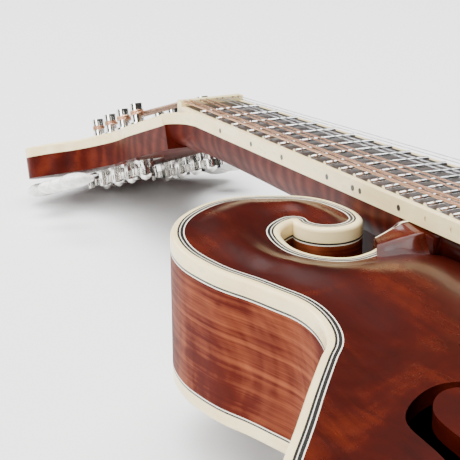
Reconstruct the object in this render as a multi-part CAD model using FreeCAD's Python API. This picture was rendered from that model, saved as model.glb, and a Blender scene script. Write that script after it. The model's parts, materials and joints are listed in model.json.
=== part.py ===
import FreeCAD
import Part
import math
import os

# A carved scroll mandolin, built piece by piece, in millimetres.
# Body frame: X to the treble side, Y from the tail to the head, Z up from the plane of the rim's
# top edge, with the origin on the centre line under the fret where neck and body join.
# Neck frame: origin on the playing surface at the nut. Head frame: origin on the head's face.
# At the end everything is leaned back to the way the instrument lies on its back on a table.

V = FreeCAD.Vector
Placement = FreeCAD.Placement
Rotation = FreeCAD.Rotation
X_AXIS = V(1, 0, 0)
Y_AXIS = V(0, 1, 0)
Z_AXIS = V(0, 0, 1)

# driving dimensions
scale_length = 352.0
joint_fret = 15
last_fret = 24
nut_width = 28.6
joint_width = 39.6
board_thickness = 5.6
board_radius = 305.0
neck_angle = 5.5
head_angle = 14.5
board_lift = 13.0          # playing surface above the rim's top plane at the joint
rim_height = 48.0
top_arch = 15.0
back_arch = 12.0
plate_thickness = 4.5
rib_thickness = 2.2
binding_width = 2.2
binding_height = 4.6
purfling_width = 2.2
purfling_depth = 1.4
lower_bout = 254.0
tail_y = -278.0
rest_angle = 2.05          # lean of the body when it lies on its back

# string set, from the low course to the high one
string_diameters = (1.0, 0.66, 0.4, 0.28)
string_gap = 0.35          # strings stay this clear of pieces that move on their own
nut_pitch = 7.3
saddle_pitch = 12.2
pair_gap_nut = 2.6
pair_gap_saddle = 3.2
string_height_nut = 2.4
string_height_saddle = 4.4

# tuning machines
post_pitch = 22.0
first_post = 50.0
post_side = 16.5
gear_teeth = 14
worm_pitch = 2.4
side_signs = (-1, 1)


def fret_y(number):
    return -scale_length * (1 - 2 ** (-number / 12.0))


joint_y = fret_y(joint_fret)
saddle_y = -scale_length
neck_place = Placement(V(0, 0, board_lift), Rotation(X_AXIS, -neck_angle))
neck_place = neck_place * Placement(V(0, -joint_y, 0), Rotation())
head_start = 5.0
head_drop = 2.5
veneer_thickness = 1.8
head_thickness = 15.5
head_place = neck_place * Placement(V(0, head_start, -head_drop), Rotation(X_AXIS, -head_angle))


# ---------------------------------------------------------------- helpers

def box(x0, x1, y0, y1, z0, z1):
    return Part.makeBox(x1 - x0, y1 - y0, z1 - z0, V(x0, y0, z0))


def rod(start, end, radius):
    along = end - start
    return Part.makeCylinder(radius, along.Length, start, along)


def slab(face, z0, z1):
    shape = face.copy()
    shape.translate(V(0, 0, z0 - face.BoundBox.ZMin))
    return shape.extrude(V(0, 0, z1 - z0))


def polygon_face(points):
    vectors = [V(*p) for p in points]
    return Part.Face(Part.makePolygon(vectors + vectors[:1]))


def curve_through(points):
    curve = Part.BSplineCurve()
    curve.interpolate([V(*p) for p in points])
    return curve.toShape()


def group(solids):
    return Part.makeCompound(solids)


def solids_of(shape, smallest=0.5):
    return group([s for s in shape.Solids if s.Volume > smallest])


def smoothstep(value, low, high):
    t = min(1.0, max(0.0, (value - low) / (high - low)))
    return t * t * (3 - 2 * t)


def arc_edge(start, tangent, end):
    chord = end - start
    unit = V(chord).normalize()
    aside = tangent - unit * tangent.dot(unit)
    if aside.Length < 1e-4:
        return Part.LineSegment(start, end).toShape()
    half_angle = math.atan2(aside.Length, tangent.dot(unit)) / 2
    middle = start + chord * 0.5 + aside.normalize() * (chord.Length / 2 * math.tan(half_angle))
    return Part.Arc(start, middle, end).toShape()


def biarc(start, tangent0, end, tangent1):
    chord = end - start
    total = tangent0 + tangent1
    spread = 2 * (1 - tangent0.dot(tangent1))
    if spread < 1e-6:
        reach = chord.dot(chord) / (4 * chord.dot(tangent1))
    else:
        b = chord.dot(total)
        reach = (-b + math.sqrt(b * b + spread * chord.dot(chord))) / spread
    middle = (start + end + (tangent0 - tangent1) * reach) * 0.5
    last = arc_edge(end, tangent1 * -1, middle)
    return [arc_edge(start, tangent0, middle), Part.Edge(last.reversed())]


def smooth_edges(points):
    """A run of tangent arcs through the points."""
    p = [V(x, y, 0) for x, y in points]
    tangents = [None]
    for before, here, after in zip(p, p[1:], p[2:]):
        a = here - before
        b = after - here
        tangents.append((a * (1 / a.dot(a)) + b * (1 / b.dot(b))).normalize())
    first = (p[1] - p[0]).normalize()
    tangents[0] = first * (2 * first.dot(tangents[1])) - tangents[1]
    final = (p[-1] - p[-2]).normalize()
    tangents.append(final * (2 * final.dot(tangents[-1])) - tangents[-1])
    edges = []
    for i in range(len(p) - 1):
        edges += biarc(p[i], tangents[i], p[i + 1], tangents[i + 1])
    return edges


# ---------------------------------------------------------------- body outline

half_bout = lower_bout / 2
button_centre = V(-30.3, 30.3, 0)
button_radius = 11.3
scroll_cusp = (-41.3, 31.8)
joint_line_y = 3.0
joint_half = 19.5
lower_point = (119.0, -111.0)
upper_point = (97.0, -27.0)


def button_point(degrees):
    a = math.radians(degrees)
    return (button_centre.x + button_radius * math.cos(a), button_centre.y + button_radius * math.sin(a))


# round the button, over the scroll, down the waist and round the lower bout to the lower point
scroll_run = [scroll_cusp] + [button_point(a) for a in (184, 212, 240, 270, 300, 330, 356)] + [
    (-19.4, 38.5), (-25.2, 51.8), (-34.6, 58.2), (-53.2, 61.8), (-70.0, 52.6), (-80.2, 37.0),
    (-83.0, 22.0), (-80.6, 4.3), (-72.7, -15.9)]
waist_run = [(-68.0, -32.0), (-68.9, -44.5), (-72.4, -54.9), (-78.3, -63.2), (-94.0, -86.0)]
bout_half_run = [(half_bout - 11, -121.0), (half_bout, -165.0), (half_bout - 14, -221.0), (60.0, -267.0)]
lower_run = [(-x, y) for x, y in bout_half_run] + [(0.0, tail_y)] + bout_half_run[:0:-1]
treble_end = [(124.0, -137.0), lower_point]
bass_side = scroll_run + waist_run + lower_run + treble_end
waist_side = [lower_point, (104.0, -101.0), (86.0, -86.0), (76.5, -64.0), (81.0, -42.0), upper_point]
shoulder_side = [upper_point, (84.0, -10.0), (64.0, 0.5), (42.0, 3.2), (joint_half, joint_line_y)]
cavity_side = [(-joint_half, joint_line_y), (-27.0, 1.6), (-33.5, -1.9), (-39.5, -3.2), (-45.6, -0.2),
               (-50.0, 6.6), (-50.7, 17.0), (-47.6, 26.6), scroll_cusp]


def outline_edges():
    joint = Part.LineSegment(V(joint_half, joint_line_y, 0), V(-joint_half, joint_line_y, 0)).toShape()
    edges = smooth_edges(bass_side) + smooth_edges(waist_side) + smooth_edges(shoulder_side)
    return edges + [joint] + smooth_edges(cavity_side)


outline = Part.Wire(Part.__sortEdges__(outline_edges()))
body_face = Part.Face(outline)


def inset(distance):
    if distance == 0:
        return body_face
    return body_face.makeOffset2D(-distance)


def rim_ring(outer_inset, inner_inset, z0, z1):
    return slab(inset(outer_inset), z0, z1).cut(slab(inset(inner_inset), z0 - 1, z1 + 1))


outline_dots = [(p.x, p.y) for p in outline.discretize(Distance=2.0)]


def edge_distance(x, y):
    """Distance from the outline, positive inside it."""
    nearest = 1e9
    inside = False
    x0, y0 = outline_dots[-1]
    for x1, y1 in outline_dots:
        dx, dy = x1 - x0, y1 - y0
        t = ((x - x0) * dx + (y - y0) * dy) / (dx * dx + dy * dy + 1e-12)
        t = min(1.0, max(0.0, t))
        gap = (x - x0 - t * dx) ** 2 + (y - y0 - t * dy) ** 2
        nearest = min(nearest, gap)
        if (y0 > y) != (y1 > y) and x < x0 + (y - y0) * dx / dy:
            inside = not inside
        x0, y0 = x1, y1
    return math.sqrt(nearest) if inside else -math.sqrt(nearest)


# ---------------------------------------------------------------- carved plates

arch_centre_y = -146.0
arch_half_x = 119.0
arch_tail = 131.0
arch_head = 158.0
flat_margin = 5.0
recurve_depth = 1.0
recurve_start = 7.0        # clear of the linings under the plate's edge
ridge_height = 3.4
ridge_reach = 15.0
grid_step = 5.0


def carved_height(x, y, arch):
    d = edge_distance(x, y)
    if d <= 0:
        return 0.0
    length = arch_tail if y < arch_centre_y else arch_head
    rho = min(1.0, math.hypot(x / arch_half_x, (y - arch_centre_y) / length))
    dome = arch * (0.5 + 0.5 * math.cos(math.pi * rho)) * smoothstep(d, flat_margin, 32.0)
    hollow = recurve_depth * smoothstep(d, recurve_start, 12.0) * (1 - smoothstep(d, 12.0, 26.0))
    in_scroll = smoothstep(y, -80.0, -15.0) * (1 - smoothstep(x, -30.0, -8.0))
    ridge = ridge_height * in_scroll * smoothstep(d, flat_margin, ridge_reach)
    return dome - hollow + ridge


def carved_face(arch):
    rows = []
    x = -half_bout - 8.0
    while x <= half_bout + 8.0:
        row = []
        y = tail_y - 8.0
        while y <= 72.0:
            row.append(V(x, y, carved_height(x, y, arch)))
            y += grid_step
        rows.append(row)
        x += grid_step
    surface = Part.BSplineSurface()
    surface.interpolate(rows)
    return surface.toShape()


top_face = carved_face(top_arch)
back_face = carved_face(back_arch).mirror(V(0, 0, 0), Z_AXIS)
back_face.translate(V(0, 0, -rim_height))
under_top = top_face.extrude(V(0, 0, -60))


def f_hole_solid(side):
    """A sound hole: two round eyes joined by a long curved slot that is wide in the middle."""
    middle = [(-59.0, -101.5), (-66.5, -97.6), (-73.6, -103.0), (-76.4, -118.0), (-78.6, -142.0),
              (-81.0, -166.0), (-84.4, -180.5), (-91.6, -185.6), (-98.5, -181.0)]
    half_width = (1.2, 1.9, 2.9, 3.2, 3.3, 3.2, 2.9, 1.9, 1.2)
    left = []
    right = []
    for i, (x, y) in enumerate(middle):
        x0, y0 = middle[max(0, i - 1)]
        x1, y1 = middle[min(len(middle) - 1, i + 1)]
        along = V(x1 - x0, y1 - y0, 0).normalize()
        aside = V(-along.y, along.x, 0) * half_width[i]
        left.append((x + aside.x, y + aside.y, 0))
        right.append((x - aside.x, y - aside.y, 0))
    far_end = Part.LineSegment(V(*left[-1]), V(*right[-1])).toShape()
    near_end = Part.LineSegment(V(*right[0]), V(*left[0])).toShape()
    wire = Part.Wire([curve_through(left), far_end, curve_through(right[::-1]), near_end])
    slot = slab(Part.Face(wire), -20, 30)
    eyes = [(-57.6, -105.0, 4.2), (-100.0, -177.6, 4.8)]
    for x, y, radius in eyes:
        slot = slot.fuse(Part.makeCylinder(radius, 50, V(x, y, -20)))
    if side > 0:
        slot = slot.mirror(V(0, 0, 0), X_AXIS)
    return slot


def top_plate():
    blank = top_face.extrude(V(0, 0, -plate_thickness)).common(slab(inset(binding_width), -20, 40))
    blank = blank.cut(purfling_ring(8.0))
    for side in side_signs:
        blank = blank.cut(f_hole_solid(side))
    return blank.cut(tenon())


def purfling_ring(top=0.0):
    return rim_ring(binding_width, binding_width + purfling_width, -purfling_depth, top)


def back_plate():
    return back_face.extrude(V(0, 0, plate_thickness)).common(slab(inset(binding_width), -rim_height - 40, 0))


line_height = 1.0
line_depth = 0.8


def joint_window():
    return box(-joint_half + 1.5, joint_half - 1.5, -6, 10, -rim_height - 1, 5)


def top_binding():
    return rim_ring(0, binding_width, -binding_height, 0).cut(tenon())


def back_binding():
    return rim_ring(0, binding_width, -rim_height, -rim_height + binding_height)


def side_purfling():
    upper = rim_ring(0, line_depth, -binding_height - line_height, -binding_height)
    lower = rim_ring(0, line_depth, binding_height - rim_height, binding_height - rim_height + line_height)
    return group([upper.cut(joint_window()), lower.cut(joint_window())])


def rib_ring():
    ring = rim_ring(0, rib_thickness, binding_height - rim_height, -binding_height)
    return ring.cut([side_purfling(), joint_window(), strap_pin()])


# each rib is the stretch of the rim inside one of these plan areas
waist_top = -28.0
lower_split = [(140, lower_point[1]), (lower_point[0] - 4, lower_point[1] - 1)]
upper_split = [(140, upper_point[1]), (upper_point[0] - 4, upper_point[1] - 1)]
rib_areas = {
    "rib_scroll": [(-100, waist_top), (-60, waist_top), (-52, -8), (-17.9, -8), (-17.9, 70), (-100, 70)],
    "rib_bass": [(-140, -290), (0, -290), (0, -200), (-40, -200), (-40, waist_top), (-140, waist_top)],
    "rib_treble": [(0, -290), (140, -290)] + lower_split + [(100, -140), (100, -200), (0, -200)],
    "rib_waist": lower_split + [(100, -125), (60, -95), (60, -40), (80, -32)] + upper_split[::-1],
    "rib_shoulder": upper_split + [(85, -26), (60, -20), (17.9, -20), (17.9, 12), (140, 12)],
}


def ribs():
    ring = rib_ring()
    pieces = {}
    for name, area in rib_areas.items():
        region = slab(polygon_face([(x, y, 0) for x, y in area]), -rim_height, 0)
        pieces[name] = solids_of(ring.common(region))
    return pieces


# ---------------------------------------------------------------- blocks, linings and bars

inner_top = -plate_thickness
inner_bottom = plate_thickness - rim_height
tenon_length = 13.0


def tenon():
    """Dovetail under the neck: wider at its inner end."""
    plan = polygon_face([(-8, joint_line_y, 0), (8, joint_line_y, 0), (11, joint_line_y - tenon_length, 0),
                         (-11, joint_line_y - tenon_length, 0)])
    return slab(plan, -38, 5)


def room_between_plates():
    """Everything between the undersides of the two carved plates, as one tall solid."""
    ceiling = top_face.copy()
    ceiling.translate(V(0, 0, -plate_thickness))
    floor = back_face.copy()
    floor.translate(V(0, 0, plate_thickness))
    return ceiling.extrude(V(0, 0, -rim_height)).common(floor.extrude(V(0, 0, rim_height)))


def fitted_block(area, room):
    """A block that fills the rim over the plan area, carved to meet both plates."""
    block = slab(area, -rim_height - 8, 8).common(slab(inset(rib_thickness), -rim_height - 10, 10))
    return block.common(room)


def head_area():
    corners = [(-100, -28), (-60, -28), (-40, -24), (46, -24), (46, 20), (-20, 70), (-100, 70)]
    return polygon_face([(x, y, 0) for x, y in corners])


def tail_area():
    return polygon_face([(-26, -290, 0), (26, -290, 0), (22, -262, 0), (-22, -262, 0)])


def point_areas():
    return [Part.Face(Part.Wire(Part.makeCircle(17, V(x, y, 0)))) for x, y in (lower_point, upper_point)]


def head_block(room):
    block = fitted_block(head_area(), room)
    half = joint_half - 1.5
    window = box(-half, half, -1, joint_line_y, binding_height - rim_height, -binding_height)
    return block.fuse(window).cut(tenon())


def tail_block(room):
    return fitted_block(tail_area(), room).cut(strap_pin())


def point_blocks(room):
    return group([fitted_block(area, room) for area in point_areas()])


lining_height = 7.0
lining_width = 4.5
lining_gap = 0.4           # glue line between lining and plate


def linings():
    """Strips along the inner corners of the rim, in lengths that end at the blocks."""
    areas = [head_area(), tail_area()] + point_areas()
    blocks = [slab(area, -rim_height, 0) for area in areas]
    inner = rib_thickness + lining_width
    upper = rim_ring(rib_thickness, inner, inner_top - lining_height, inner_top - lining_gap)
    lower = rim_ring(rib_thickness, inner, inner_bottom + lining_gap, inner_bottom + lining_height)
    both = [solids_of(ring.cut(blocks), 20) for ring in (upper, lower)]
    return group([s for ring in both for s in ring.Solids])


bar_length = 190.0


def tone_bars():
    """Two carved bars glued under the top, each side of the centre line."""
    roof = top_face.copy()
    roof.translate(V(0, 0, -plate_thickness))
    bars = []
    for side in side_signs:
        bar = box(-3, 3, -bar_length / 2, bar_length / 2, -20, 20)
        bar.rotate(V(0, 0, 0), Z_AXIS, side * 4.0)
        bar.translate(V(side * 27.0, -150.0, 0))
        bars.append(bar.common(roof.extrude(V(0, 0, -9))))
    return group(bars)


# ---------------------------------------------------------------- neck and head

neck_depth_nut = 15.0
neck_depth_heel = 17.5
heel_length = 15.0
heel_half_low = 11.0
cap_thickness = 2.0


def board_width(y):
    return nut_width + (joint_width - nut_width) * y / joint_y


def neck_section(y, depth, width):
    """A D-shaped slice of the neck under the fingerboard."""
    count = 12
    points = []
    for i in range(count + 1):
        a = math.pi * i / count
        x = -width / 2 * math.copysign(abs(math.cos(a)) ** 0.85, math.cos(a))
        z = -board_thickness - depth * math.sin(a) ** 0.85
        points.append((x, y, z))
    top = Part.LineSegment(V(*points[-1]), V(*points[0])).toShape()
    return Part.Wire([curve_through(points), top])


def neck_shaft():
    joint_face_y = joint_y + joint_line_y
    ys = (4.0, -20.0, (joint_face_y - 20) / 2, joint_face_y)
    depths = (neck_depth_nut, neck_depth_nut, 16.2, neck_depth_heel)
    sections = [neck_section(y, d, board_width(min(y, 0)) - 0.2) for y, d in zip(ys, depths)]
    shaft = Part.makeLoft(sections, True, False)
    shaft.Placement = neck_place
    return shaft.cut(box(-30, 30, -20, joint_line_y, -30, 20))


def heel():
    """The deep end of the neck, curved on the outside and narrower towards the back."""
    y0 = joint_line_y
    low = -rim_height
    top_z = board_lift - board_thickness - 3.5
    sweep = [(heel_length, 0), (19, 14), (31, 30), (62, 39)]
    curve = curve_through([(0, y0 + along, low + rise) for along, rise in sweep])
    wire = Part.Wire([
        Part.LineSegment(V(0, y0, top_z), V(0, y0, low)).toShape(),
        Part.LineSegment(V(0, y0, low), V(0, y0 + heel_length, low)).toShape(),
        curve,
        Part.LineSegment(V(0, y0 + 62, low + 39), V(0, y0 + 62, low + 46)).toShape(),
        Part.LineSegment(V(0, y0 + 62, low + 46), V(0, y0, top_z)).toShape()])
    side_view = Part.Face(wire).extrude(V(60, 0, 0))
    side_view.translate(V(-30, 0, 0))
    half = [(heel_half_low, low), (14.5, -20), (15.5, -6), (17.5, 10)]
    front = polygon_face([(x, 0, z) for x, z in half] + [(-x, 0, z) for x, z in half[::-1]])
    front_view = front.extrude(V(0, 90, 0))
    return side_view.common(front_view)


def head_outline(margin=0.0):
    """Half outline of the flared head, mirrored: narrow at the nut, with rounded wings and a crown."""
    half = [(21.0, 0.0), (23.4, 36.0), (26.0, 84.0), (34.0, 100.0), (49.0, 109.0), (54.5, 119.0),
            (50.5, 130.0), (37.0, 138.0), (22.0, 148.0), (10.0, 163.0)]
    left = [(-x, y) for x, y in half]
    crown = [(0.0, 167.0)]
    run = left + crown + half[::-1]
    edges = smooth_edges(run)
    foot = Part.LineSegment(V(half[0][0], 0, 0), V(-half[0][0], 0, 0)).toShape()
    face = Part.Face(Part.Wire(Part.__sortEdges__(edges + [foot])))
    if margin:
        face = face.makeOffset2D(-margin)
    return face


head_binding_width = 2.0
head_binding_height = 5.0
rod_radius = 2.4
rod_depth = 11.0
pocket_end = 30.0


def rod_pocket():
    """The pocket behind the nut where the truss rod's nut is reached."""
    pocket = box(-5.2, 5.2, 1.0, pocket_end, -10.5, 1.0)
    pocket.Placement = head_place
    return pocket


def post_positions():
    spots = []
    for side in side_signs:
        for k in range(4):
            spots.append((side, V(side * post_side, first_post + k * post_pitch, 0)))
    return spots


bushing_radius = 4.0
bushing_flange = 4.8


def post_bores():
    bores = []
    for side, spot in post_positions():
        low = V(spot.x, spot.y, -head_thickness - 2)
        bores.append(Part.makeCylinder(bushing_radius, head_thickness + 4, low))
    bores = group(bores)
    bores.Placement = head_place
    return bores


def head_wood():
    blank = slab(head_outline(), -head_thickness, -veneer_thickness)
    rim = slab(head_outline(), -head_binding_height, 1).cut(slab(head_outline(head_binding_width), -20, 2))
    blank = blank.cut(rim)
    blank.Placement = head_place
    return blank


def head_throat():
    """The swelling where the back of the neck runs out into the head."""
    foot = neck_section(-14.0, neck_depth_nut, board_width(-14) - 0.6)
    middle = neck_section(4.0, neck_depth_nut + 0.5, nut_width + 6)
    throat = Part.makeLoft([foot, middle], True, False)
    throat.Placement = neck_place
    return throat


def truss_rod_shape(extra=0.0):
    rod_shape = rod(V(0, joint_y + 12, -rod_depth), V(0, 17, -rod_depth), rod_radius + extra)
    rod_shape.Placement = neck_place
    return rod_shape


def neck():
    wood = neck_shaft().fuse([heel(), tenon(), head_throat(), head_wood()])
    wood = wood.cut([truss_rod_shape(0.05), rod_pocket(), post_bores(), nut_shape()])
    wood = wood.removeSplitter()
    return solids_of(wood, 500)


def heel_cap():
    y0 = joint_line_y
    return box(-heel_half_low, heel_half_low, y0, y0 + heel_length, -rim_height - cap_thickness, -rim_height)


def board_outline(margin, z0, z1):
    end = fret_y(last_fret) - 5.0
    half0 = nut_width / 2 - margin
    half1 = board_width(end) / 2 - margin
    stop = end + (margin if margin else 0.0)
    plan = polygon_face([(-half0, 0, 0), (half0, 0, 0), (half1, stop, 0), (-half1, stop, 0)])
    return slab(plan, z0, z1)


board_binding_width = 2.0


def board_crown():
    """The playing surface's wide cylinder, level with the board's edge at the joint."""
    edge_drop = board_radius - math.sqrt(board_radius ** 2 - (joint_width / 2) ** 2)
    return Part.makeCylinder(board_radius, 400, V(0, -350, edge_drop - board_radius), Y_AXIS)


def fingerboard():
    board = board_outline(board_binding_width, -board_thickness, 2).common(board_crown())
    board.Placement = neck_place
    return board


def fingerboard_binding():
    core = board_outline(board_binding_width, -board_thickness - 1, 3)
    strip = board_outline(0, -board_thickness, 2).cut(core)
    strip = strip.common(board_crown())
    strip.Placement = neck_place
    return strip.cut(side_dots())


fret_half_width = 1.1
fret_height = 1.0


def frets():
    edge_drop = board_radius - math.sqrt(board_radius ** 2 - (joint_width / 2) ** 2)
    bars = []
    for number in range(1, last_fret + 1):
        y = fret_y(number)
        base = V(0, y, edge_drop)
        aside = V(0, fret_half_width, 0)
        arc = Part.Arc(base - aside, base + V(0, 0, fret_height), base + aside)
        line = Part.LineSegment(base + aside, base - aside)
        face = Part.Face(Part.Wire([arc.toShape(), line.toShape()]))
        half = math.degrees((board_width(y) / 2 - board_binding_width) / board_radius)
        axis_point = V(0, 0, edge_drop - board_radius)
        face.rotate(axis_point, Y_AXIS, -half)
        bars.append(face.revolve(axis_point, Y_AXIS, 2 * half))
    bars = group(bars)
    bars.Placement = neck_place
    return bars


dot_radius = 0.9


def side_dots():
    dots = []
    for number in (3, 5, 7, 10, 12, 15, 17, 19, 22):
        y = (fret_y(number) + fret_y(number - 1)) / 2
        x = -board_width(y) / 2
        offsets = (-2.6, 2.6) if number == 12 else (0.0,)
        for offset in offsets:
            dots.append(Part.makeCylinder(dot_radius, 1.0, V(x, y + offset, -board_thickness / 2), X_AXIS))
    dots = group(dots)
    dots.Placement = neck_place
    return dots


nut_length = 5.0


def nut_shape():
    blank = box(-nut_width / 2, nut_width / 2, 0, nut_length, -board_thickness, string_height_nut + 0.3)
    blank.Placement = neck_place
    return blank


def nut():
    blank = nut_shape()
    slots = []
    for x, diameter in string_spots(nut_pitch, pair_gap_nut):
        start = V(x, -2, string_height_nut)
        end = V(x, nut_length + 2, string_height_nut - 0.8)
        slots.append(rod(start, end, diameter / 2 + string_gap))
    slots = group(slots)
    slots.Placement = neck_place
    return blank.cut(slots)


def headstock_veneer():
    sheet = slab(head_outline(head_binding_width), -veneer_thickness, 0)
    sheet = sheet.cut(box(-5.2, 5.2, -1.0, pocket_end, -10.5, 1.0))
    sheet.Placement = head_place
    return sheet.cut([post_bores(), nut_shape()])


def headstock_binding():
    rim = slab(head_outline(), -head_binding_height, 0).cut(slab(head_outline(head_binding_width), -20, 2))
    rim = rim.cut(box(-40, 40, -3, head_binding_width, -20, 5))
    rim.Placement = head_place
    return rim.cut(nut_shape())


def truss_rod():
    return truss_rod_shape()


rod_nut_gap = 0.05


def truss_rod_nut():
    """A hexagonal nut on the rod's end, in the pocket."""
    angles = [math.radians(a) for a in range(0, 360, 60)]
    points = [(3.6 * math.cos(a), 0, 3.6 * math.sin(a)) for a in angles]
    body = polygon_face(points).extrude(V(0, 8, 0))
    body.translate(V(0, 10.0, -rod_depth))
    body = body.cut(rod(V(0, 5, -rod_depth), V(0, 25, -rod_depth), rod_radius + rod_nut_gap))
    body.Placement = neck_place
    return body


def cover_outline(offset=0.0):
    half = [(9.5, 1.5), (9.2, 14.0), (6.0, 24.0), (5.4, 34.0)]
    run = [(-x, y) for x, y in half] + [(0.0, 38.0)] + half[::-1]
    foot = Part.LineSegment(V(half[0][0], half[0][1], 0), V(-half[0][0], half[0][1], 0)).toShape()
    return Part.Face(Part.Wire(Part.__sortEdges__(smooth_edges(run) + [foot])))


cover_thickness = 1.6
screw_spots = [(-6.5, 5.0), (6.5, 5.0), (0.0, 34.5)]
plate_thick = 1.2
plate_screw_ys = [43.5, 65.5, 87.5, 109.5, 129.5]


def truss_rod_cover():
    sheet = slab(cover_outline(), 0, cover_thickness)
    for x, y in screw_spots:
        sheet = sheet.cut(Part.makeCylinder(0.8, 6, V(x, y, -2)))
    sheet.Placement = head_place
    return sheet


def wood_screw(spot, up):
    """A small round-headed screw: spot is on the face that its head stands on."""
    head = Part.makeSphere(1.7, spot, Z_AXIS, 0, 90, 360)
    shank = Part.makeCylinder(0.78, 5.0, spot - V(0, 0, 5.0))
    screw = head.fuse(shank)
    if not up:
        screw.rotate(spot, X_AXIS, 180)
    return screw


def headstock_screws():
    screws = [wood_screw(V(x, y, cover_thickness), True) for x, y in screw_spots]
    for side in side_signs:
        for y in plate_screw_ys:
            screws.append(wood_screw(V(side * (post_side + 4.6), y, -head_thickness - plate_thick), False))
    screws = group(screws)
    screws.Placement = head_place
    return screws


# ---------------------------------------------------------------- tuning machines

post_radius = 3.0
post_bore_gap = 0.06
gear_radius = worm_pitch * gear_teeth / (2 * math.pi)
tooth_height = 0.75
tooth_tip = 0.25
gear_thickness = 3.2
worm_core = 2.0
shaft_radius = 1.2
worm_crest = 3.0
gear_drop = head_thickness + plate_thick + 3.2
worm_z = -gear_drop - gear_thickness / 2
worm_offset = gear_radius + worm_core + 0.55
button_start = 39.5
button_length = 15.5
button_half_thick = 3.3
post_top = 10.0


def tuner_plates():
    """Two back plates, each with four bores and a pair of lugs for every worm."""
    lug_starts = (-6.6, 4.9)
    lug_thick = 1.7
    lug_half = 2.4
    back = -head_thickness
    y0 = first_post - 10.0
    y1 = first_post + 3 * post_pitch + 17.0
    plates = []
    for side in side_signs:
        x0, x1 = sorted((side * (post_side - 6.9), side * (post_side + 6.7)))
        sheet = box(x0, x1, y0, y1, back - plate_thick, back)
        for k in range(4):
            y = first_post + k * post_pitch
            worm_y = y + worm_offset
            bore = Part.makeCylinder(post_radius + post_bore_gap, 10, V(side * post_side, y, back - 5))
            sheet = sheet.cut(bore)
            for along in lug_starts:
                lug_x0, lug_x1 = sorted((side * (post_side + along), side * (post_side + along + lug_thick)))
                lug = box(lug_x0, lug_x1, worm_y - lug_half, worm_y + lug_half, worm_z - 2.6, back - 0.5)
                sheet = sheet.fuse(lug)
            inner = V(side * (post_side - 8), worm_y, worm_z)
            outer = V(side * (post_side + 9), worm_y, worm_z)
            sheet = sheet.cut(rod(inner, outer, shaft_radius + post_bore_gap))
        for y in plate_screw_ys:
            sheet = sheet.cut(Part.makeCylinder(0.8, 6, V(side * (post_side + 4.6), y, back - 4)))
        plates.append(sheet)
    plates = group(plates)
    plates.Placement = head_place
    return plates


def post_bushings():
    rings = []
    for side, spot in post_positions():
        sleeve = Part.makeCylinder(bushing_radius, 6.0, V(spot.x, spot.y, -6.0))
        sleeve = sleeve.fuse(Part.makeCylinder(bushing_flange, 1.2, V(spot.x, spot.y, 0)))
        rings.append(sleeve.cut(Part.makeCylinder(post_radius + post_bore_gap, 12, V(spot.x, spot.y, -8))))
    rings = group(rings)
    rings.Placement = head_place
    return rings


def gear_solid(spot):
    step = 2 * math.pi / gear_teeth
    inner = gear_radius - tooth_height
    outer = gear_radius + tooth_tip
    points = []
    for k in range(gear_teeth):
        # a gap, not a tooth, faces the worm's thread at rest
        middle = math.pi / 2 + (k + 0.5) * step
        for offset, radius in ((-0.26, inner), (-0.15, outer), (0.15, outer), (0.26, inner)):
            a = middle + offset * step
            points.append((spot.x + radius * math.cos(a), spot.y + radius * math.sin(a), 0))
    return slab(polygon_face(points), -gear_drop - gear_thickness, -gear_drop)


def tuner_post(side, spot):
    post = Part.makeCylinder(post_radius, gear_drop + post_top - 0.6, V(spot.x, spot.y, -gear_drop + 0.6))
    groove_base = V(spot.x, spot.y, post_top - 5.4)
    neck_groove = Part.makeCylinder(6, 2.2, groove_base)
    neck_groove = neck_groove.cut(Part.makeCylinder(post_radius - 0.7, 2.2, groove_base))
    post = post.cut(neck_groove)
    post = post.cut(rod(V(spot.x - 6, spot.y, post_top - 4.3), V(spot.x + 6, spot.y, post_top - 4.3), 0.8))
    stub = Part.makeCylinder(1.9, gear_thickness + 0.6, V(spot.x, spot.y, -gear_drop - gear_thickness))
    post = post.fuse(stub)
    gear = gear_solid(spot).cut(Part.makeCylinder(1.9, 10, V(spot.x, spot.y, -gear_drop - 6)))
    screw = Part.makeSphere(2.6, V(spot.x, spot.y, -gear_drop - gear_thickness), Z_AXIS * -1, 0, 90, 360)
    base = -gear_drop - gear_thickness
    slot = box(spot.x - 3, spot.x + 3, spot.y - 0.35, spot.y + 0.35, base - 3, base - 1.9)
    pieces = group([post, gear, screw.cut(slot)])
    pieces.Placement = head_place
    return pieces


worm_half = 4.3


def worm_thread():
    """The helical thread alone, about the X axis, centred on the origin."""
    turns_length = 2 * worm_half - worm_pitch
    helix = Part.makeHelix(worm_pitch, turns_length, worm_core, 0)
    root = worm_core - 0.15
    corners = [(root, -0.62), (worm_crest, -0.26), (worm_crest, 0.26), (root, 0.62), (root, -0.62)]
    profile = Part.makePolygon([V(x, 0, z) for x, z in corners])
    thread = Part.Wire(helix.Edges).makePipeShell([profile], True, True)
    thread.translate(V(0, 0, -turns_length / 2))
    thread.rotate(V(0, 0, 0), Y_AXIS, 90)
    return thread


def worm_phase(side):
    """Turn about the worm that sets a crest between two gear teeth, on the side where the gear is."""
    turns = (2 * worm_half - worm_pitch) / worm_pitch
    gear_bearing = 270.0 if side > 0 else 90.0
    return gear_bearing - 180.0 * turns


def knob():
    """An oval button on the worm's shaft, with a collar, revolved and then flattened."""
    start = button_start - post_side
    end = start + button_length
    bulge = [(start, 2.4), (start + 3, 3.9), (start + 8.5, 5.7), (start + 13.5, 4.2), (end, 0.0)]
    profile = Part.Wire([
        curve_through([(x, y, 0) for x, y in bulge]),
        Part.LineSegment(V(end, 0, 0), V(start, 0, 0)).toShape(),
        Part.LineSegment(V(start, 0, 0), V(start, 2.4, 0)).toShape()])
    turned = Part.Face(profile).revolve(V(0, 0, 0), X_AXIS, 360)
    flat = turned.common(box(start - 1, end + 1, -9, 9, -button_half_thick, button_half_thick))
    return flat.cut(rod(V(start - 2, 0, 0), V(start + 9, 0, 0), shaft_radius))


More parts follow.
